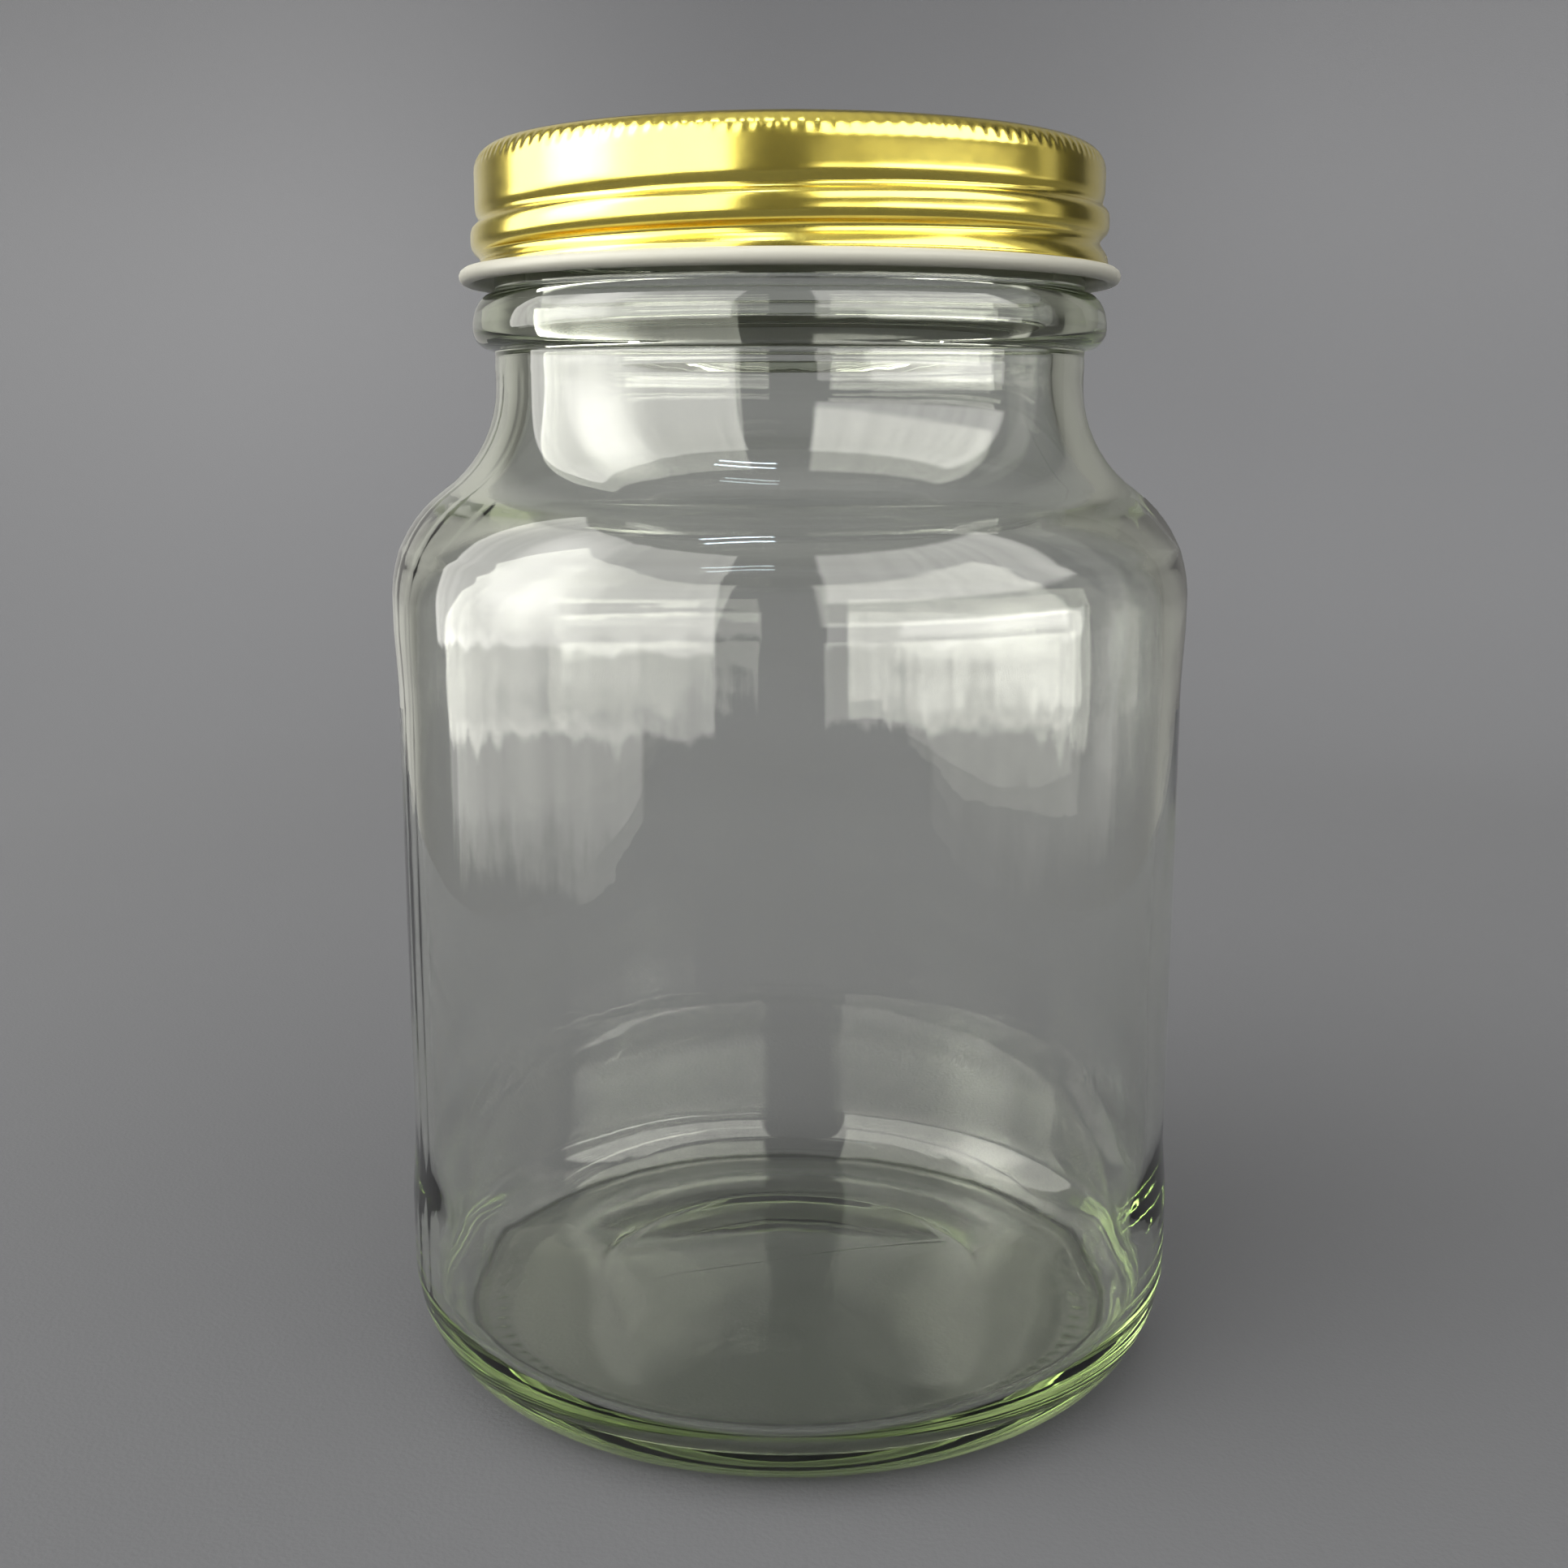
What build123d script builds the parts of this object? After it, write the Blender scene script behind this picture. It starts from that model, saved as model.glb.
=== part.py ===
from build123d import *
import os
from math import acos, degrees, radians, sin

# One-litre glass storage jar with a one-piece metal screw lid.
# Millimetres, +Z up, origin at the centre of the base.  The lid is shown screwed down.

# Glass body, outside
BODY_R = 53.0            # heel band, the widest part
PANEL_R = 52.45          # slightly recessed band between heel and shoulder
SHOULDER_R = 52.8        # band under the shoulder
FOOT_R_IN, FOOT_R_OUT = 39.5, 42.0   # flat ring that the jar stands on
HEEL_HEIGHT = 14.5
HEEL_BAND_TOP, PANEL_BOTTOM = 24.0, 31.0
PANEL_TOP, SHOULDER_BAND_BOTTOM = 94.0, 101.0
SHOULDER_Z = 105.1       # where the shoulder starts to turn in
SHOULDER_ARC, NECK_ARC = 17.0, 16.4
NECK_R = 38.55

# Glass body, inside
WALL_R_IN = 50.0
SHOULDER_Z_IN = 103.5
SHOULDER_ARC_IN, NECK_ARC_IN = 14.2, 20.0
MOUTH_R = 34.4
HEEL_ROUND_IN = 9.0      # inner corner; it meets the floor in a crease
FLOOR_R, FLOOR_EDGE_Z, FLOOR_CENTRE_Z = 45.0, 6.2, 10.2
PUSH_UP = 4.8            # how far the underside rises at its centre
PUSH_UP_R = 38.9         # where the rise meets the short slope behind the foot ring
PUSH_UP_EDGE = 0.4

# Finish: the threaded mouth and the handling bead below it
BEAD_R, BEAD_REACH = 41.35, 2.65   # widest radius, and how far the bead stands out
BEAD_BOTTOM, BEAD_WIDEST, BEAD_TOP = 136.6, 139.3, 143.7
FINISH_R = 38.4
RIM_Z, RIM_ROUND = 160.45, 1.3
THREAD_PITCH = 4.7
THREAD_ROUND = 1.3       # radius of the thread's rounded section
THREAD_CREST_R = 40.15
THREAD_START_DEG, THREAD_TURNS = 120.0, 1.39

# Lid
SHEET = 0.25             # tinplate thickness
LID_TOP = 161.7
LID_CORNER = 2.8
SKIRT_R = 40.5           # upper, smooth part of the skirt
BAND_R = 41.0            # lower part of the skirt, which carries the rolled thread
BAND_TOP, SKIRT_BOTTOM = 156.0, 157.6
BAND_BOTTOM = 147.6
PANEL_RISE, PANEL_EDGE_R, PANEL_STEP = 0.4, 31.0, 1.4
CURL_ROUND, CURL_Z, CURL_R = 1.05, 145.75, 42.9    # rolled bottom edge, and its largest radius
CURL_SWEEP_DEG = 285.0
GROOVE_ROUND, GROOVE_CENTRE_R = 1.2, 41.1        # rounded section of the rolled thread groove
GROOVE_START_DEG, GROOVE_TURNS = 165.0, 1.6
GROOVE_Z_AT_LEFT = 147.8 # height of the groove's middle at 180 degrees
THREAD_ABOVE_GROOVE = 2.0

# Liner disc
LINER_R = 38.0
LINER_GAP = 0.08         # clearance above and below the liner


def helix_height(angle_deg):
    """Height of the middle of the lid's thread groove at an angle about +Z."""
    return GROOVE_Z_AT_LEFT + THREAD_PITCH * (angle_deg - 180.0) / 360.0


def coil(section_radius, centre_radius, start_deg, turns, rise=0.0):
    """A round bar wound about +Z on the helix of the lid's groove, or above it by rise."""
    path = Helix(pitch=THREAD_PITCH, height=THREAD_PITCH * turns, radius=centre_radius)
    section = Plane(origin=path @ 0, z_dir=path % 0) * Circle(section_radius)
    bar = sweep(section, path=path, is_frenet=True)
    return Pos(0, 0, helix_height(start_deg) + rise) * Rot(0, 0, start_deg) * bar


def s_bend(radius_low, z_low, arc_low, radius_high, arc_high):
    """Two tangent arcs that carry a wall inwards and up, and the height where they end.

    The first arc turns away from vertical at (radius_low, z_low); the second turns back to
    vertical at radius_high.
    """
    reach = arc_low + arc_high
    turn = degrees(acos(1 - (radius_low - radius_high) / reach))
    z_high = z_low + reach * sin(radians(turn))
    low = CenterArc((radius_low - arc_low, z_low), arc_low, 0, turn)
    high = CenterArc((radius_high + arc_high, z_high), arc_high, 180 + turn, -turn)
    return low, high, z_high


def jar_outside():
    """Outer wall from the foot ring to the rim, as edges in the (radius, height) plane."""
    heel = EllipticalCenterArc((FOOT_R_OUT, HEEL_HEIGHT), BODY_R - FOOT_R_OUT, HEEL_HEIGHT, 270, arc_size=90)
    low, high, neck_z = s_bend(SHOULDER_R, SHOULDER_Z, SHOULDER_ARC, NECK_R, NECK_ARC)
    body = [
        Line((FOOT_R_IN, 0), (FOOT_R_OUT, 0)),
        heel,
        Line((BODY_R, HEEL_HEIGHT), (BODY_R, HEEL_BAND_TOP)),
        Line((BODY_R, HEEL_BAND_TOP), (PANEL_R, PANEL_BOTTOM)),
        Line((PANEL_R, PANEL_BOTTOM), (PANEL_R, PANEL_TOP)),
        Line((PANEL_R, PANEL_TOP), (SHOULDER_R, SHOULDER_BAND_BOTTOM)),
        Line((SHOULDER_R, SHOULDER_BAND_BOTTOM), (SHOULDER_R, SHOULDER_Z)),
        low,
        high,
        Line((NECK_R, neck_z), (NECK_R, BEAD_BOTTOM)),
    ]
    core = BEAD_R - BEAD_REACH
    bead = [
        Line((NECK_R, BEAD_BOTTOM), (core, BEAD_BOTTOM)),
        EllipticalCenterArc((core, BEAD_WIDEST), BEAD_REACH, BEAD_WIDEST - BEAD_BOTTOM, 270, arc_size=90),
        EllipticalCenterArc((core, BEAD_WIDEST), BEAD_REACH, BEAD_TOP - BEAD_WIDEST, 0, arc_size=90),
        Line((core, BEAD_TOP), (FINISH_R, BEAD_TOP)),
    ]
    finish = [
        Line((FINISH_R, BEAD_TOP), (FINISH_R, RIM_Z - RIM_ROUND)),
        CenterArc((FINISH_R - RIM_ROUND, RIM_Z - RIM_ROUND), RIM_ROUND, 0, 90),
        Line((FINISH_R - RIM_ROUND, RIM_Z), (MOUTH_R + RIM_ROUND, RIM_Z)),
    ]
    return body + bead + finish


def jar_inside():
    """Inner wall from the rim down to the floor, and the underside out to the foot ring."""
    low, high, neck_z = s_bend(WALL_R_IN, SHOULDER_Z_IN, SHOULDER_ARC_IN, MOUTH_R, NECK_ARC_IN)
    heel_x = WALL_R_IN - HEEL_ROUND_IN
    heel_turn = degrees(acos((FLOOR_R - heel_x) / HEEL_ROUND_IN))
    heel_z = FLOOR_EDGE_Z + HEEL_ROUND_IN * sin(radians(heel_turn))
    return [
        CenterArc((MOUTH_R + RIM_ROUND, RIM_Z - RIM_ROUND), RIM_ROUND, 90, 90),
        Line((MOUTH_R, RIM_Z - RIM_ROUND), (MOUTH_R, neck_z)),
        high,
        low,
        Line((WALL_R_IN, SHOULDER_Z_IN), (WALL_R_IN, heel_z)),
        CenterArc((heel_x, heel_z), HEEL_ROUND_IN, -heel_turn, heel_turn),
        TangentArc((0, FLOOR_CENTRE_Z), (FLOOR_R, FLOOR_EDGE_Z), tangent=(1, 0)),
        Line((0, FLOOR_CENTRE_Z), (0, PUSH_UP)),
        TangentArc((0, PUSH_UP), (PUSH_UP_R, PUSH_UP_EDGE), tangent=(1, 0)),
        Line((PUSH_UP_R, PUSH_UP_EDGE), (FOOT_R_IN, 0)),
    ]


def make_jar():
    """Blown glass jar with its moulded right-hand thread."""
    section = make_face(jar_outside() + jar_inside())
    glass = revolve(Plane.XZ * section, Axis.Z)
    centre_r = THREAD_CREST_R - THREAD_ROUND
    return glass + coil(THREAD_ROUND, centre_r, THREAD_START_DEG, THREAD_TURNS, THREAD_ABOVE_GROOVE)


def lid_sheet():
    """Middle line of the lid's sheet, from the centre of the top to the end of the curl."""
    half = SHEET / 2
    top, panel = LID_TOP - half, LID_TOP + PANEL_RISE - half
    skirt, band = SKIRT_R - half, BAND_R - half
    corner = LID_CORNER - half
    curl = CURL_ROUND - half
    curl_x = CURL_R - CURL_ROUND
    step_end = PANEL_EDGE_R + PANEL_STEP
    with BuildLine() as line:
        Line((0, panel), (PANEL_EDGE_R, panel))
        Line((PANEL_EDGE_R, panel), (step_end, top))
        Line((step_end, top), (skirt - corner, top))
        CenterArc((skirt - corner, top - corner), corner, 90, -90)
        Line((skirt, top - corner), (skirt, SKIRT_BOTTOM))
        Line((skirt, SKIRT_BOTTOM), (band, BAND_TOP))
        Line((band, BAND_TOP), (band, BAND_BOTTOM))
        Line((band, BAND_BOTTOM), (curl_x - curl, CURL_Z))
        CenterArc((curl_x, CURL_Z), curl, 180, CURL_SWEEP_DEG)
    return line


def make_lid_shell():
    """Pressed tinplate lid with a rolled thread and an outward curl."""
    strip = trace(lid_sheet(), line_width=SHEET)
    shell = revolve(Plane.XZ * strip, Axis.Z)
    groove = coil(GROOVE_ROUND, GROOVE_CENTRE_R, GROOVE_START_DEG, GROOVE_TURNS)
    end_wall = degrees(SHEET / GROOVE_CENTRE_R)
    ridge_turns = GROOVE_TURNS + 2 * end_wall / 360
    ridge = coil(GROOVE_ROUND + SHEET, GROOVE_CENTRE_R, GROOVE_START_DEG - end_wall, ridge_turns)
    inside = Pos(0, 0, LID_TOP / 2) * Cylinder(BAND_R - SHEET / 2, LID_TOP)
    return shell + (ridge & inside) - groove


def make_lid_liner():
    """Loose foam disc that seals the lid against the rim."""
    bottom = RIM_Z + LINER_GAP
    top = LID_TOP - SHEET - LINER_GAP
    return Pos(0, 0, (bottom + top) / 2) * Cylinder(LINER_R, top - bottom)


os.makedirs("parts", exist_ok=True)
for node, make in (("jar", make_jar), ("lid_shell", make_lid_shell), ("lid_liner", make_lid_liner)):
    export_step(make(), f"parts/{node}.step")
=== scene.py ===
from math import acos, degrees, pi, radians, sin

import bpy
import numpy as np
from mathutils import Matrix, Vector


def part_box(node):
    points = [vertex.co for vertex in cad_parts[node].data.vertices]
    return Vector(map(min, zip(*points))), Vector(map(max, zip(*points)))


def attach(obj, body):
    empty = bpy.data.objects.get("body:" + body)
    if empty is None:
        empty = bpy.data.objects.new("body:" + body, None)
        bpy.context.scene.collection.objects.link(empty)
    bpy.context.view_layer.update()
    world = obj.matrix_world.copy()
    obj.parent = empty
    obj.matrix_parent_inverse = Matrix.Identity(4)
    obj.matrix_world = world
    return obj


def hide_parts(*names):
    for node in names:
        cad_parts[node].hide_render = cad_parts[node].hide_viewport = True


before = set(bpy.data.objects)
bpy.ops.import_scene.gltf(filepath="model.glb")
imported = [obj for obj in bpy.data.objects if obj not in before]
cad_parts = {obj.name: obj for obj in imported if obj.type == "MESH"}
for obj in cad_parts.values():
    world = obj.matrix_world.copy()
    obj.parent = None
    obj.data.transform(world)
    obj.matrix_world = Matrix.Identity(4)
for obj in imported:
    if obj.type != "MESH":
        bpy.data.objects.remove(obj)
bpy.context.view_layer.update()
MM = 0.001

# ---------------------------------------------------------------- sizes, from the CAD nodes' boxes
jar_lo, jar_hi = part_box("jar")
lid_lo, lid_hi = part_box("lid_shell")
liner_lo, liner_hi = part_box("lid_liner")
BODY_R = jar_hi[0] / MM
RIM_Z = jar_hi[2] / MM
CURL_R = lid_hi[0] / MM
PANEL_TOP_Z = lid_hi[2] / MM
LINER_R = liner_hi[0] / MM
LINER_Z = (liner_lo[2] / MM, liner_hi[2] / MM)

# Glass, in millimetres: the same form as the CAD node, with the soft corners of blown glass
PANEL_R, SHOULDER_R, NECK_R = BODY_R - 0.55, BODY_R - 0.2, 38.55
FOOT_R_IN, FOOT_R_OUT, HEEL_HEIGHT = 39.5, 42.0, 14.5
HEEL_BAND_TOP, PANEL_BOTTOM = 24.0, 31.0
PANEL_TOP, SHOULDER_BAND_BOTTOM = 94.0, 101.0
SHOULDER_Z, SHOULDER_ARC, NECK_ARC = 105.1, 17.0, 16.4
WALL_R_IN, SHOULDER_Z_IN, SHOULDER_ARC_IN, NECK_ARC_IN, MOUTH_R = 50.0, 103.5, 14.2, 20.0, 34.4
FLOOR_R, FLOOR_EDGE_Z, FLOOR_CENTRE_Z = 45.0, 6.2, 10.2
PUSH_UP, HEEL_ROUND_IN = 4.8, 9.0
BEAD_R, BEAD_REACH = 41.35, 2.65
BEAD_BOTTOM, BEAD_WIDEST, BEAD_TOP = 136.6, 139.3, 143.7
FINISH_R, RIM_ROUND = 38.4, 1.3
PITCH, GROOVE_Z_AT_LEFT = 4.7, 147.8
THREAD_CREST_R, THREAD_START, THREAD_END = 40.15, 120.0, 620.4
STIPPLES = 88            # raised dots of the bearing ring
NECK_SEAM_Z, SHOULDER_SEAM_Z = 134.5, 111.3   # parting lines of the mould
BAFFLE_R = 26.6          # ring that the mould's baffle leaves under the base
JAR_POINTS, JAR_SOFTENING = 282, 0.32

# Lid
SHEET = 0.25
LID_TOP = PANEL_TOP_Z - 0.4
SKIRT_R, BAND_R, CORNER = 40.6, 41.25, 3.0
CURL_ROUND = 1.05
CURL_Z = lid_lo[2] / MM + CURL_ROUND
GROOVE_R, GROOVE_START, GROOVE_END = 40.05, 165.0, 741.0
FLUTES, FLUTE_DEPTH = 144, 0.12
LID_PANEL_R, LID_PANEL_STEP = 31.0, 1.4
LID_POINTS = 68


# ---------------------------------------------------------------- mesh tools
def segment(start, end, step=0.05):
    count = max(2, int(np.hypot(end[0] - start[0], end[1] - start[1]) / step))
    return np.linspace(start, end, count)


def arc(centre, radius, start_deg, end_deg, radius_z=None, step=0.05):
    radius_z = radius if radius_z is None else radius_z
    count = max(8, int(abs(radians(end_deg - start_deg)) * max(radius, radius_z) / step))
    angle = np.radians(np.linspace(start_deg, end_deg, count))
    return np.c_[centre[0] + radius * np.cos(angle), centre[1] + radius_z * np.sin(angle)]


def s_bend(radius_low, z_low, arc_low, radius_high, arc_high):
    """Two tangent arcs that carry a wall inwards and up, and the height where they end."""
    reach = arc_low + arc_high
    turn = degrees(acos(1 - (radius_low - radius_high) / reach))
    z_high = z_low + reach * sin(radians(turn))
    low = arc((radius_low - arc_low, z_low), arc_low, 0, turn)
    high = arc((radius_high + arc_high, z_high), arc_high, 180 + turn, 180)
    return low, high, z_high


def even(line, step):
    """The same line with even steps."""
    length = np.r_[0, np.cumsum(np.hypot(*np.diff(line, axis=0).T))]
    at = np.linspace(0, length[-1], int(length[-1] / step))
    return np.c_[np.interp(at, length, line[:, 0]), np.interp(at, length, line[:, 1])]


def softened(line, sigma, step=0.05):
    """Rounds a line's corners as blowing and firing do. The ends stay put."""
    line = even(line, step)
    reach = int(3 * sigma / step)
    kernel = np.exp(-0.5 * (np.arange(-reach, reach + 1) * step / sigma) ** 2)
    kernel /= kernel.sum()
    before = 2 * line[0] - line[reach:0:-1]
    after = 2 * line[-1] - line[-2:-reach - 2:-1]
    padded = np.vstack([before, line, after])
    return np.c_[np.convolve(padded[:, 0], kernel, "valid"), np.convolve(padded[:, 1], kernel, "valid")]


def thinned(line, count, turn_weight, extra):
    """count points of a dense line, closer where it bends and where extra(points) asks for more."""
    step = np.diff(line, axis=0)
    length = np.hypot(*step.T)
    heading = np.unwrap(np.arctan2(step[:, 1], step[:, 0]))
    bend = np.abs(np.r_[0, np.diff(heading)])
    middle = (line[1:] + line[:-1]) / 2
    cost = np.r_[0, np.cumsum(length * (1 + extra(middle)) + bend * turn_weight)]
    at = np.linspace(0, cost[-1], count)
    return np.c_[np.interp(at, cost, line[:, 0]), np.interp(at, cost, line[:, 1])]


def normals_2d(line):
    along = np.gradient(line, axis=0)
    along /= np.hypot(*along.T)[:, None] + 1e-12
    return np.c_[along[:, 1], -along[:, 0]]


def lathe(name, radius, height):
    """A mesh from rings. radius and height are (points, angles) arrays in millimetres.

    The first and the last ring are each joined to a point on the axis.
    """
    points, angles = radius.shape
    theta = np.arange(angles) * 2 * pi / angles
    rings = np.stack([radius * np.cos(theta), radius * np.sin(theta), height], axis=-1)
    vertices = rings.reshape(-1, 3)
    i = np.arange(points - 1)[:, None]
    j = np.arange(angles)[None, :]
    a, b = i * angles + j, i * angles + (j + 1) % angles
    c, d = b + angles, a + angles
    quads = np.stack([a, b, c, d], axis=-1).reshape(-1, 4)
    faces = quads.tolist()
    first, last = len(vertices), len(vertices) + 1
    ends = [[0, 0, height[0].mean()], [0, 0, height[-1].mean()]]
    vertices = np.vstack([vertices, ends])
    base = (points - 1) * angles
    turn = [(n, (n + 1) % angles) for n in range(angles)]
    faces += [[n, first, m] for n, m in turn] + [[base + n, base + m, last] for n, m in turn]
    corners = vertices[quads]
    volume = np.einsum("ij,ij->i", corners[:, 0], np.cross(corners[:, 1], corners[:, 2])).sum()
    volume += np.einsum("ij,ij->i", corners[:, 0], np.cross(corners[:, 2], corners[:, 3])).sum()
    if volume < 0:
        faces = [face[::-1] for face in faces]
    mesh = bpy.data.meshes.new(name)
    mesh.from_pydata((vertices * MM).tolist(), [], faces)
    mesh.polygons.foreach_set("use_smooth", np.ones(len(faces), bool))
    mesh.validate()
    mesh.update()
    thing = bpy.data.objects.new(name, mesh)
    bpy.context.scene.collection.objects.link(thing)
    return thing


def ramp(value, low, high):
    t = np.clip((value - low) / (high - low), 0, 1)
    return t * t * (3 - 2 * t)


def bump_at(value, centre, width):
    return np.exp(-((value - centre) / width) ** 2)


def waves(theta, along, seed, count, turns, length_mm):
    """Smooth seeded unevenness of about unit size: whole waves round the jar, any length along it."""
    rng = np.random.default_rng(seed)
    total = np.zeros(np.broadcast(theta, along).shape)
    for _ in range(count):
        m = rng.integers(turns[0], turns[1] + 1)
        k = 2 * pi / rng.uniform(*length_mm) * rng.choice([-1, 1])
        total += rng.uniform(0.5, 1) * np.cos(m * theta + k * along + rng.uniform(0, 2 * pi))
    return total / count ** 0.5


# ---------------------------------------------------------------- the glass jar
def jar_line():
    """Dense outline from the middle of the underside, up the outside, to the middle of the inner floor."""
    low, high, neck_z = s_bend(SHOULDER_R, SHOULDER_Z, SHOULDER_ARC, NECK_R, NECK_ARC)
    low_in, high_in, neck_z_in = s_bend(WALL_R_IN, SHOULDER_Z_IN, SHOULDER_ARC_IN, MOUTH_R, NECK_ARC_IN)
    core = BEAD_R - BEAD_REACH
    heel_x = WALL_R_IN - HEEL_ROUND_IN
    heel_turn = degrees(acos((FLOOR_R - heel_x) / HEEL_ROUND_IN))
    heel_z = FLOOR_EDGE_Z + HEEL_ROUND_IN * sin(radians(heel_turn))
    x = np.linspace(0, 1, 400)[:, None]
    under = np.c_[FOOT_R_IN * x, PUSH_UP * (1 - x ** 2) ** 1.25]
    floor = np.c_[FLOOR_R * (1 - x), FLOOR_CENTRE_Z - (FLOOR_CENTRE_Z - FLOOR_EDGE_Z) * (1 - x) ** 2]
    outside = [
        under,
        segment((FOOT_R_IN, 0), (FOOT_R_OUT, 0)),
        arc((FOOT_R_OUT, HEEL_HEIGHT), BODY_R - FOOT_R_OUT, 270, 360, HEEL_HEIGHT),
        segment((BODY_R, HEEL_HEIGHT), (BODY_R, HEEL_BAND_TOP)),
        segment((BODY_R, HEEL_BAND_TOP), (PANEL_R, PANEL_BOTTOM)),
        segment((PANEL_R, PANEL_BOTTOM), (PANEL_R, PANEL_TOP)),
        segment((PANEL_R, PANEL_TOP), (SHOULDER_R, SHOULDER_BAND_BOTTOM)),
        segment((SHOULDER_R, SHOULDER_BAND_BOTTOM), (SHOULDER_R, SHOULDER_Z)),
        low, high,
        segment((NECK_R, neck_z), (NECK_R, BEAD_BOTTOM)),
        segment((NECK_R, BEAD_BOTTOM), (core, BEAD_BOTTOM)),
        arc((core, BEAD_WIDEST), BEAD_REACH, 270, 360, BEAD_WIDEST - BEAD_BOTTOM),
        arc((core, BEAD_WIDEST), BEAD_REACH, 0, 90, BEAD_TOP - BEAD_WIDEST),
        segment((core, BEAD_TOP), (FINISH_R, BEAD_TOP)),
        segment((FINISH_R, BEAD_TOP), (FINISH_R, RIM_Z - RIM_ROUND)),
        arc((FINISH_R - RIM_ROUND, RIM_Z - RIM_ROUND), RIM_ROUND, 0, 90),
    ]
    inside = [
        arc((MOUTH_R + RIM_ROUND, RIM_Z - RIM_ROUND), RIM_ROUND, 90, 180),
        segment((MOUTH_R, RIM_Z - RIM_ROUND), (MOUTH_R, neck_z_in)),
        high_in[::-1], low_in[::-1],
        segment((WALL_R_IN, SHOULDER_Z_IN), (WALL_R_IN, heel_z)),
        arc((heel_x, heel_z), HEEL_ROUND_IN, 360, 360 - heel_turn),
        floor,
    ]
    return softened(np.vstack(outside + inside), JAR_SOFTENING)


def closer(points):
    """Where the jar's outline needs its points closer together than its bends alone ask."""
    r, z = points.T
    outer = (r > 37.5) & (z > 141)
    finish = 6.0 * (outer & (z < 160))
    seams = 3.0 * bump_at(z, NECK_SEAM_Z, 1.2) * (r > 37) + 3.0 * bump_at(z, SHOULDER_SEAM_Z, 1.0) * (r > 50)
    base = 3.0 * bump_at(r, BAFFLE_R, 1.2) * (z < 6) + 6.0 * bump_at(r, 40.8, 1.6) * (z < 1)
    return finish + seams + base


def make_jar():
    line = thinned(jar_line(), JAR_POINTS, 9.0, closer)
    r, z = line[:, :1], line[:, 1:]
    normal = normals_2d(line)
    rim = int(np.argmax(line[:, 1]))
    outer = (np.arange(len(line)) <= rim)[:, None]
    angles = 4 * STIPPLES
    theta = np.arange(angles)[None, :] * 2 * pi / angles
    turned = np.degrees(theta)
    along = np.cumsum(np.r_[0, np.hypot(*np.diff(line, axis=0).T)])[:, None]

    # Unevenness: the outside followed a mould, the inside was shaped by air alone.
    wall = ramp(z, 12, 30) * (1 - ramp(z, 126, 134))
    inner_wave = 0.11 * waves(theta, along, 7, 7, (1, 4), (45, 120))
    inner_wave = inner_wave + 0.006 * waves(theta, along, 8, 10, (4, 14), (11, 30))
    outer_wave = 0.014 * waves(theta, along, 9, 8, (2, 7), (18, 50))
    thicker = 0.42 * ramp(z, 60, 118) * (1 - ramp(z, 118, 130))
    shift = np.where(outer, (outer_wave - 0.03) * wall, inner_wave * wall + thicker)
    floor_wave = 0.09 * waves(theta, along, 11, 6, (1, 5), (16, 40)) * bump_at(z, 7.5, 3.5) * (r < 42)
    shift = shift + np.where(outer, 0, floor_wave * np.clip(r / 12, 0, 1))

    # Marks of the mould: parting lines, the baffle's ring on the base and the dots of the bearing ring
    seams = 0.13 * bump_at(z, NECK_SEAM_Z, 0.35) + 0.06 * bump_at(z, SHOULDER_SEAM_Z, 0.45)
    shift = shift + np.where(outer, seams, 0) * (r > 37)
    broken = 0.55 + 0.45 * np.cos(2 * theta + 0.4)
    base = outer & (z < 5.2)
    shift = shift + np.where(base, -0.1 * bump_at(r, BAFFLE_R, 0.45) * broken, 0)
    seam = np.zeros_like(theta)
    seam[0, [20, 20 + angles // 2]] = 0.05
    shift = shift + np.where(outer & (z > 3) & (z < 134), seam, 0)
    dots = np.clip(np.cos(STIPPLES * theta), 0, 1)
    shift = shift + np.where(base, (dots - 1) * 0.09 * bump_at(r, 40.9, 1.2) * (z < 0.9), 0)

    radius = r + shift * normal[:, :1]
    height = z + shift * normal[:, 1:]
    for turn in range(3):
        at = turned + 360 * turn
        middle = GROOVE_Z_AT_LEFT + PITCH * (at - 180) / 360 + 2.0
        fade = ramp(at, THREAD_START - 12, THREAD_START + 14)
        fade = fade * (1 - ramp(at, THREAD_END - 14, THREAD_END + 12))
        crest = (THREAD_CREST_R - FINISH_R) * fade * np.exp(-np.abs((height - middle) / 1.05) ** 2.4)
        radius = radius + np.where(outer & (z > 143) & (z < 160), crest, 0)
    return lathe("jar_glass", radius[1:-1], height[1:-1])


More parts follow.
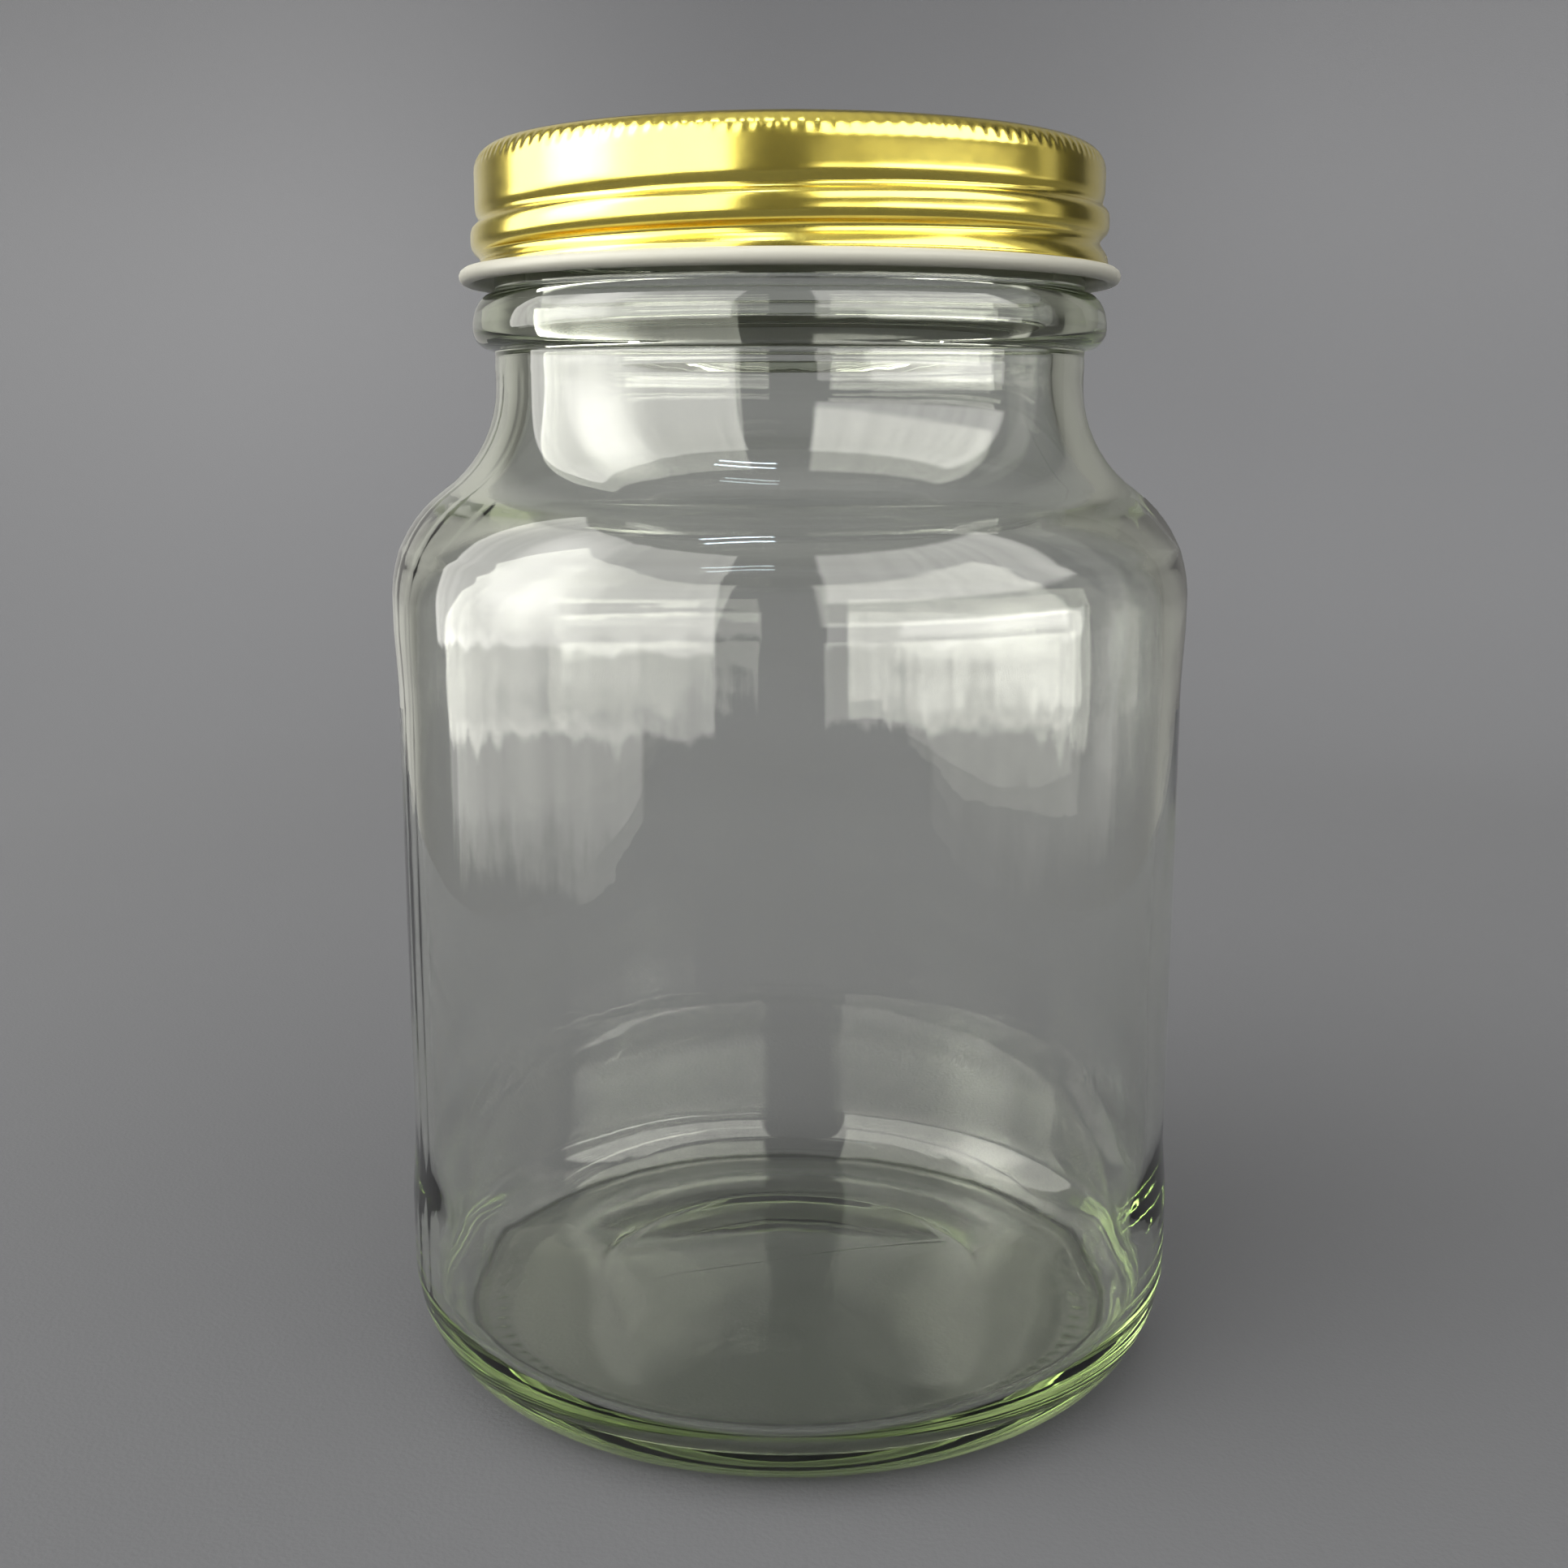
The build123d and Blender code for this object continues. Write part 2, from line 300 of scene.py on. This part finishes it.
# ---------------------------------------------------------------- the lid
def make_lid():
    half = SHEET / 2
    top, panel = LID_TOP - half, PANEL_TOP_Z - half
    skirt, corner, curl = SKIRT_R - half, CORNER - half, CURL_ROUND - half
    curl_x = CURL_R - CURL_ROUND
    step_end = LID_PANEL_R + LID_PANEL_STEP
    line = np.vstack([
        segment((0.4, panel), (LID_PANEL_R, panel)),
        segment((LID_PANEL_R, panel), (step_end, top)),
        segment((step_end, top), (skirt - corner, top)),
        arc((skirt - corner, top - corner), corner, 90, 0),
        segment((skirt, top - corner), (skirt, 147.2)),
        segment((skirt, 147.2), (curl_x - curl, CURL_Z)),
        arc((curl_x, CURL_Z), curl, 180, 462),
    ])
    line = softened(line, 0.22)

    def denser(points):
        r, z = points.T
        return 2.6 * ((z < LID_TOP - 0.3) & (z > 146.2) & (r < SKIRT_R + 0.02)) + 1.2 * (z < 146.8)

    line = thinned(line, LID_POINTS, 1.3, denser)
    angles = 5 * FLUTES
    theta = np.arange(angles)[None, :] * 2 * pi / angles
    turned = np.degrees(theta)
    r, z = np.repeat(line[:, :1], angles, 1), np.repeat(line[:, 1:], angles, 1)
    on_side = ((z < LID_TOP - 0.2) & (z > 145.0) & (r < SKIRT_R + 0.02)) * 1.0

    # The skirt steps out to the band along the upper groove.
    past = np.mod(turned - 165, 360)
    step_z = np.where(past <= 216, 152.3 + PITCH * past / 360, 155.1 - 2.8 * (past - 216) / 144)
    band = (1 - ramp(z, step_z - 0.7, step_z + 0.7)) * ramp(z, 145.2, 146.6)
    side = (BAND_R - SKIRT_R) * band
    for turn in range(3):
        at = turned + 360 * turn
        middle = GROOVE_Z_AT_LEFT + PITCH * (at - 180) / 360
        fade = ramp(at, GROOVE_START - 14, GROOVE_START + 14) * (1 - ramp(at, GROOVE_END - 45, GROOVE_END))
        floor_r = SKIRT_R + side
        width = 0.78 if turn else np.where(z < middle, 1.35, 0.9)
        side = side - (floor_r - GROOVE_R) * fade * bump_at(z, middle, width)
    flute = 0.5 - 0.5 * np.cos(FLUTES * theta)
    fluted = ramp(z, LID_TOP - 2.7, LID_TOP - 2.1) * (1 - ramp(z, LID_TOP - 1.2, LID_TOP - 0.6))
    side = side - FLUTE_DEPTH * flute ** 0.8 * fluted
    r = r + side * on_side

    along_r, along_z = np.gradient(r, axis=0), np.gradient(z, axis=0)
    size = np.hypot(along_r, along_z) + 1e-12
    nr, nz = along_z / size, -along_r / size
    front = np.stack([r - nr * half, z - nz * half])
    back = np.stack([r + nr * half, z + nz * half])[:, ::-1]
    tip = np.stack([r[-1:] + along_r[-1:] / size[-1:] * half, z[-1:] + along_z[-1:] / size[-1:] * half])
    loop = np.concatenate([front, tip, back], axis=1)
    lid = lathe("lid_shell_tinplate", loop[0], loop[1])
    # Faces of the front side are gold; the back side, which the curl shows, is white.
    faces = lid.data.polygons
    index = np.zeros(len(faces), int)
    index[len(line) * angles:] = 1
    index[-2 * angles:-angles] = 0
    faces.foreach_set("material_index", index)
    return lid


def make_liner():
    low, high = LINER_Z
    edge = 0.25
    line = softened(np.vstack([
        segment((0.4, low), (LINER_R - edge, low)),
        arc((LINER_R - edge, low + edge), edge, 270, 360),
        arc((LINER_R - edge, high - edge), edge, 0, 90),
        segment((LINER_R - edge, high), (0.4, high)),
    ]), 0.08)
    line = thinned(line, 72, 1.0, lambda p: 3.0 * bump_at(p[:, 0], 36.4, 2.2))
    theta = np.arange(240)[None, :] * 2 * pi / 240
    r, z = line[:, :1], line[:, 1:]
    under = z < (low + high) / 2
    # the ring that the jar's rim has pressed into the foam
    pressed = 0.16 * (ramp(r, 34.3, 35.1) - ramp(r, 37.5, 38.0)) * (1 + 0.12 * np.cos(3 * theta + 1))
    height = z + np.where(under, pressed, 0)
    return lathe("lid_liner_foam", np.repeat(r, 240, 1), height)


# ---------------------------------------------------------------- node tools
class Graph:
    """Small helper for shader nodes: each call returns an output socket."""

    def __init__(self, tree):
        self.tree = tree
        tree.nodes.clear()

    def put(self, socket, value):
        if isinstance(value, bpy.types.NodeSocket):
            self.tree.links.new(value, socket)
        else:
            socket.default_value = value

    def add(self, kind, out=0, settings=None, **inputs):
        node = self.tree.nodes.new(kind)
        for key, value in (settings or {}).items():
            setattr(node, key, value)
        for key, value in inputs.items():
            self.put(node.inputs[key.replace("_", " ")], value)
        return node.outputs[out]

    def math(self, operation, *values):
        node = self.tree.nodes.new("ShaderNodeMath")
        node.operation = operation
        for socket, value in zip(node.inputs, values):
            self.put(socket, value)
        return node.outputs[0]

    def times(self, first, second):
        return self.math("MULTIPLY", first, second)

    def plus(self, first, second):
        return self.math("ADD", first, second)

    def axes(self, vector):
        """The x, y and z of a vector."""
        node = self.tree.nodes.new("ShaderNodeSeparateXYZ")
        self.tree.links.new(vector, node.inputs[0])
        return node.outputs

    def reach(self, x, y):
        """Distance from the axis."""
        return self.math("SQRT", self.plus(self.times(x, x), self.times(y, y)))

    def mix_shader(self, factor, first, second):
        node = self.tree.nodes.new("ShaderNodeMixShader")
        for socket, value in zip(node.inputs, (factor, first, second)):
            self.put(socket, value)
        return node.outputs[0]

    def smooth(self, value, low, high, to_low=0.0, to_high=1.0):
        node = self.tree.nodes.new("ShaderNodeMapRange")
        node.interpolation_type = "SMOOTHSTEP"
        for socket, number in zip(node.inputs, (value, low, high, to_low, to_high)):
            self.put(socket, number)
        return node.outputs[0]

    def between(self, value, low, high, soft):
        rise = self.smooth(value, low - soft, low + soft)
        fall = self.smooth(value, high - soft, high + soft, 1.0, 0.0)
        return self.times(rise, fall)

    def noise(self, vector, scale, detail=3.0, roughness=0.5, distortion=0.0):
        return self.add("ShaderNodeTexNoise", Vector=vector, Scale=scale, Detail=detail,
                        Roughness=roughness, Distortion=distortion)

    def mix_colour(self, factor, first, second):
        node = self.tree.nodes.new("ShaderNodeMix")
        node.data_type = "RGBA"
        for socket, value in ((node.inputs[0], factor), (node.inputs[6], first), (node.inputs[7], second)):
            self.put(socket, value)
        return node.outputs[2]

    def bump(self, height, distance, strength=1.0, normal=None):
        extra = {} if normal is None else {"Normal": normal}
        return self.add("ShaderNodeBump", Height=height, Distance=distance, Strength=strength, **extra)


def material(name):
    made = bpy.data.materials.new(name)
    made.use_nodes = True
    return made, Graph(made.node_tree)


def principled(graph, **inputs):
    shader = graph.add("ShaderNodeBsdfPrincipled", **inputs)
    output = graph.tree.nodes.new("ShaderNodeOutputMaterial")
    graph.tree.links.new(shader, output.inputs["Surface"])
    return output


# ---------------------------------------------------------------- materials of the object
def glass_material():
    made, g = material("clear_glass")
    place = g.add("ShaderNodeTexCoord", out=3)
    settle = g.noise(place, 60.0, 2.0, 0.5, 0.6)
    fine = g.noise(place, 260.0, 3.0)
    normal = g.bump(settle, 0.00003)
    normal = g.bump(fine, 0.000002, normal=normal)
    film = g.smooth(g.noise(place, 35.0, 4.0, 0.6), 0.45, 0.8, 0.0, 0.035)
    # painted shade: a thin dark line in the crease where the inner floor meets the wall, standing in for the
    # shadowed cloth under the jar that shows through the glass
    x, y, z = g.axes(place)
    wander = g.math("SUBTRACT", g.noise(place, 160.0, 3.0), 0.5)
    reach = g.plus(g.reach(x, y), g.times(wander, 0.0008))
    painted_crease_shade = g.times(g.between(reach, 0.0445, 0.0455, 0.0003), g.between(z, 0.0052, 0.0078, 0.0003))
    # the painted crease shade darkens the glass's colour along that line
    tint = g.mix_colour(painted_crease_shade, (1, 1, 1, 1), (0.2, 0.21, 0.18, 1))
    output = principled(g, Base_Color=tint, Roughness=film, IOR=1.52,
                        Transmission_Weight=1.0, Normal=normal)
    volume = g.add("ShaderNodeVolumeAbsorption", Color=(0.47, 0.63, 0.14, 1), Density=18.0)
    g.tree.links.new(volume, output.inputs["Volume"])
    return made


def gold_material():
    made, g = material("gold_lacquer")
    place = g.add("ShaderNodeTexCoord", out=3)
    cloud = g.noise(place, 70.0, 4.0, 0.6)
    colour = g.mix_colour(cloud, (0.77, 0.625, 0.108, 1), (0.83, 0.69, 0.155, 1))
    grain = g.noise(place, 2600.0, 3.0, 0.6)
    roughness = g.smooth(g.noise(place, 240.0, 4.0, 0.65), 0.3, 0.75, 0.17, 0.21)
    normal = g.bump(g.noise(place, 900.0, 3.0), 0.0000022)
    normal = g.bump(grain, 0.0000007, normal=normal)
    principled(g, Base_Color=colour, Metallic=1.0, Roughness=roughness, Coat_Weight=0.3,
               Coat_Roughness=0.16, Coat_IOR=1.5, Normal=normal)
    return made


def white_material():
    made, g = material("white_lacquer")
    place = g.add("ShaderNodeTexCoord", out=3)
    cloud = g.noise(place, 180.0, 5.0, 0.6)
    colour = g.mix_colour(cloud, (0.63, 0.61, 0.5, 1), (0.67, 0.65, 0.55, 1))
    roughness = g.smooth(g.noise(place, 700.0, 3.0), 0.3, 0.8, 0.28, 0.42)
    normal = g.bump(g.noise(place, 1100.0, 3.0), 0.000004)
    principled(g, Base_Color=colour, Roughness=roughness, Specular_IOR_Level=0.3, Normal=normal)
    return made


def foam_material():
    made, g = material("liner_foam")
    place = g.add("ShaderNodeTexCoord", out=3)
    cells = g.add("ShaderNodeTexVoronoi", Vector=place, Scale=2600.0)
    cloud = g.noise(place, 90.0, 4.0)
    colour = g.mix_colour(cloud, (0.76, 0.75, 0.7, 1), (0.82, 0.81, 0.77, 1))
    roughness = g.smooth(cloud, 0.3, 0.7, 0.72, 0.86)
    normal = g.bump(cells, 0.00005)
    principled(g, Base_Color=colour, Roughness=roughness, Normal=normal)
    return made


# ---------------------------------------------------------------- build the object
glass = make_jar()
glass.data.materials.append(glass_material())
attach(glass, "jar_body")
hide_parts("jar")

lid = make_lid()
lid.data.materials.append(gold_material())
lid.data.materials.append(white_material())
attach(lid, "lid")
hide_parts("lid_shell")

liner = make_liner()
liner.data.materials.append(foam_material())
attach(liner, "liner")
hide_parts("lid_liner")


# ---------------------------------------------------------------- stage: sweep, light and camera
def bounce_mask(graph, matt_only=False):
    """1 for a ray that was reflected or scattered on its way from the camera, 0 for one that came straight
    or only through glass. matt_only counts only rays that a matt surface scattered."""
    path = graph.tree.nodes.new("ShaderNodeLightPath")
    bounces = path.outputs["Diffuse Depth"]
    if not matt_only:
        bounces = graph.plus(bounces, path.outputs["Glossy Depth"])
    return graph.math("MINIMUM", bounces, 1.0)


def make_sweep():
    flat, cove, wall_top, angles = 450.0, 450.0, 1900.0, 128
    line = np.vstack([
        segment((1.0, 0), (flat, 0), 30)[:-1],
        arc((flat, cove), cove, 270, 360, step=12)[:-1],
        segment((flat + cove, cove), (flat + cove, wall_top), 60),
    ])
    r, z = np.repeat(line[:, :1], angles, 1), np.repeat(line[:, 1:], angles, 1)
    theta = np.arange(angles) * 2 * pi / angles
    vertices = np.stack([r * np.cos(theta), r * np.sin(theta), z], -1).reshape(-1, 3) * MM
    rows = [(i * angles, j, (j + 1) % angles) for i in range(len(line) - 1) for j in range(angles)]
    faces = [[row + j, row + k, row + angles + k, row + angles + j] for row, j, k in rows]
    faces.append(list(range(angles))[::-1])
    mesh = bpy.data.meshes.new("sweep")
    mesh.from_pydata(vertices.tolist(), [], faces)
    mesh.polygons.foreach_set("use_smooth", np.ones(len(faces), bool))
    sweep = bpy.data.objects.new("sweep", mesh)
    bpy.context.scene.collection.objects.link(sweep)
    return sweep


def sweep_material():
    made, g = material("grey_cloth")
    place = g.add("ShaderNodeTexCoord", out=3)
    soft = g.noise(place, 5.0, 2.0, 0.4)
    x, y, z = g.axes(place)
    # painted light: the cloth is painted lighter to the left and further up, where more light falls on the
    # wall
    painted_light = g.times(g.smooth(x, -0.3, 0.02, 1.0, 0.0), g.smooth(z, -0.02, 0.25, 0.25, 1.0))
    painted_light = g.plus(painted_light, g.times(g.smooth(x, 0.1, 0.3), g.smooth(z, 0.1, 0.3, 0.0, 0.3)))
    colour = g.mix_colour(soft, (0.162, 0.162, 0.164, 1), (0.177, 0.177, 0.179, 1))
    # mixes the painted light in as a paler grey
    colour = g.mix_colour(painted_light, colour, (0.27, 0.268, 0.27, 1))
    # the pool of light that the glass gathers under the jar
    gathered = g.times(g.smooth(g.reach(x, y), 0.036, 0.05, 1.0, 0.0), g.smooth(z, 0.0, 0.01, 1.0, 0.0))
    colour = g.mix_colour(gathered, colour, (0.31, 0.31, 0.312, 1))
    weave = g.noise(place, 1500.0, 2.0)
    normal = g.bump(weave, 0.00008)
    cloth = g.add("ShaderNodeBsdfPrincipled", Base_Color=colour, Roughness=0.95, Normal=normal,
                  Specular_IOR_Level=0.15)
    # Reflections look through the cloth into the room, except near the jar and right behind it.
    across = g.math("ABSOLUTE", x)
    beyond = g.math("MAXIMUM", g.math("GREATER_THAN", z, 0.01), g.math("GREATER_THAN", across, 0.3))
    back = g.times(g.math("GREATER_THAN", y, 0.4), g.math("LESS_THAN", across, 0.24))
    open_to_room = g.times(g.times(beyond, g.math("SUBTRACT", 1.0, back)), bounce_mask(g))
    clear = g.add("ShaderNodeBsdfTransparent")
    output = g.tree.nodes.new("ShaderNodeOutputMaterial")
    g.tree.links.new(g.mix_shader(open_to_room, cloth, clear), output.inputs["Surface"])
    return made


sweep = make_sweep()
sweep.data.materials.append(sweep_material())


def make_room_light():
    """Two tall windows beside the camera, a ceiling lamp and a dim room, as a world."""
    world = bpy.data.worlds.new("room")
    world.use_nodes = True
    g = Graph(world.node_tree)
    world.cycles.sampling_method = "NONE"    # every ray asks the world itself, so the masks below hold
    bpy.context.scene.world = world
    way = g.add("ShaderNodeTexCoord", out=0)
    x, y, z = g.axes(way)
    side = g.math("DEGREES", g.math("ARCTAN2", x, g.times(y, -1.0)))
    up = g.math("DEGREES", g.math("ARCSINE", z))
    ragged = g.times(g.math("SUBTRACT", g.noise(way, 7.0, 5.0, 0.62), 0.5), 5.0)
    up_ragged = g.plus(up, ragged)
    folds = g.add("ShaderNodeTexNoise", settings={"noise_dimensions": "1D"}, W=side, Scale=0.16, Detail=2.0)
    folds = g.smooth(folds, 0.3, 0.7, 0.88, 1.1)

    def glow(az0, az1, el0, el1, strength, soft=2.0, ragged_edge=False, pleated=False):
        height = up_ragged if ragged_edge else up
        shape = g.times(g.between(side, az0, az1, soft), g.between(height, el0, el1, soft))
        if pleated:
            shape = g.times(shape, folds)
        return g.times(shape, strength)

    def softbox(to_x, to_y, to_z, strength):
        facing = g.plus(g.times(x, to_x), g.times(y, to_y))
        facing = g.math("MAXIMUM", g.plus(facing, g.times(z, to_z)), 0.0)
        return g.times(g.math("POWER", facing, 5.0), strength)

    # what the glass and the lid reflect: azimuth from the camera's side, left negative, and elevation
    total = g.plus(g.smooth(up, 45.0, 80.0, 0.14, 0.6), g.smooth(up, -30.0, -6.0, 0.1, 0.0))
    for part in (
        glow(-116, -20, -7.4, 55, 3.9, 0.6, True, True),         # left window
        glow(-93, -66, 2, 50, 4.6, 8.0),                         # its bright middle
        glow(-112, -41, -12.5, -6, 1.3, 0.9, True, True),        # light below it
        glow(10, 88, -6.2, 3, 2.9, 0.6, True, True),             # right window, lower pane
        glow(10, 90, 17, 56, 4.6, 1.5, False, True),             # its upper pane
        glow(30, 82, -3.5, 3, 4.5, 1.5),                         # its bright middle
        glow(40, 106, -12.5, -5.5, 0.4, 0.9, True, True),        # light below it
        glow(-190, -140, -25, 50, 0.4, 10.0),                    # pale walls at the sides
        glow(98, 108, -10, 50, 0.4, 2.0),
        glow(132, 160, -20, 50, 0.15, 8.0),
    ):
        total = g.plus(total, part)
    curtain = g.times(g.between(side, 109, 130, 1.0), g.between(up, -4, 45, 3.0))
    total = g.times(total, g.math("SUBTRACT", 1.0, g.times(curtain, 0.65)))
    windows = g.add("ShaderNodeBackground", Color=(1.0, 0.985, 0.93, 1), Strength=total)
    # two tubes of the ceiling lamp
    safe = g.math("MAXIMUM", z, 0.05)
    u, v = g.math("DIVIDE", x, safe), g.math("DIVIDE", y, safe)
    tubes = g.plus(g.between(v, -0.42, -0.40, 0.004), g.between(v, -0.34, -0.32, 0.004))
    lamp = g.times(tubes, g.between(u, -0.34, -0.06, 0.01))
    lamp = g.times(lamp, g.math("GREATER_THAN", z, 0.3))
    lamps = g.add("ShaderNodeBackground", Color=(0.75, 0.88, 1.0, 1), Strength=g.times(lamp, 30.0))
    both = g.tree.nodes.new("ShaderNodeAddShader")
    g.put(both.inputs[0], windows)
    g.put(both.inputs[1], lamps)
    plain = g.add("ShaderNodeBackground", Color=(0.24, 0.24, 0.24, 1), Strength=1.0)
    shiny = g.mix_shader(bounce_mask(g), plain, both.outputs[0])
    # what lights the matt surfaces: two broad soft lamps high at the front, the left one stronger
    lit = g.plus(softbox(-0.62, -0.52, 0.588, 3.4), softbox(0.5, -0.52, 0.69, 1.15))
    lit = g.times(g.plus(lit, 0.24), g.math("GREATER_THAN", z, 0.02))
    soft = g.add("ShaderNodeBackground", Color=(0.985, 0.99, 1.0, 1), Strength=g.plus(lit, 0.1))
    output = g.tree.nodes.new("ShaderNodeOutputWorld")
    g.tree.links.new(g.mix_shader(bounce_mask(g, True), shiny, soft), output.inputs["Surface"])


make_room_light()

camera_data = bpy.data.cameras.new("camera")
camera_data.sensor_width = 36.0
camera_data.lens = 43.79
camera_data.clip_start = 0.01
camera = bpy.data.objects.new("camera", camera_data)
camera.location = (0.0, -0.2585, 0.1289)
camera.rotation_euler = (radians(90 - 11.05), 0.0, radians(0.163))
bpy.context.scene.collection.objects.link(camera)
bpy.context.scene.camera = camera
bpy.context.scene.view_settings.view_transform = "Standard"
light_paths = bpy.context.scene.cycles
light_paths.max_bounces, light_paths.transmission_bounces, light_paths.glossy_bounces = 28, 28, 14
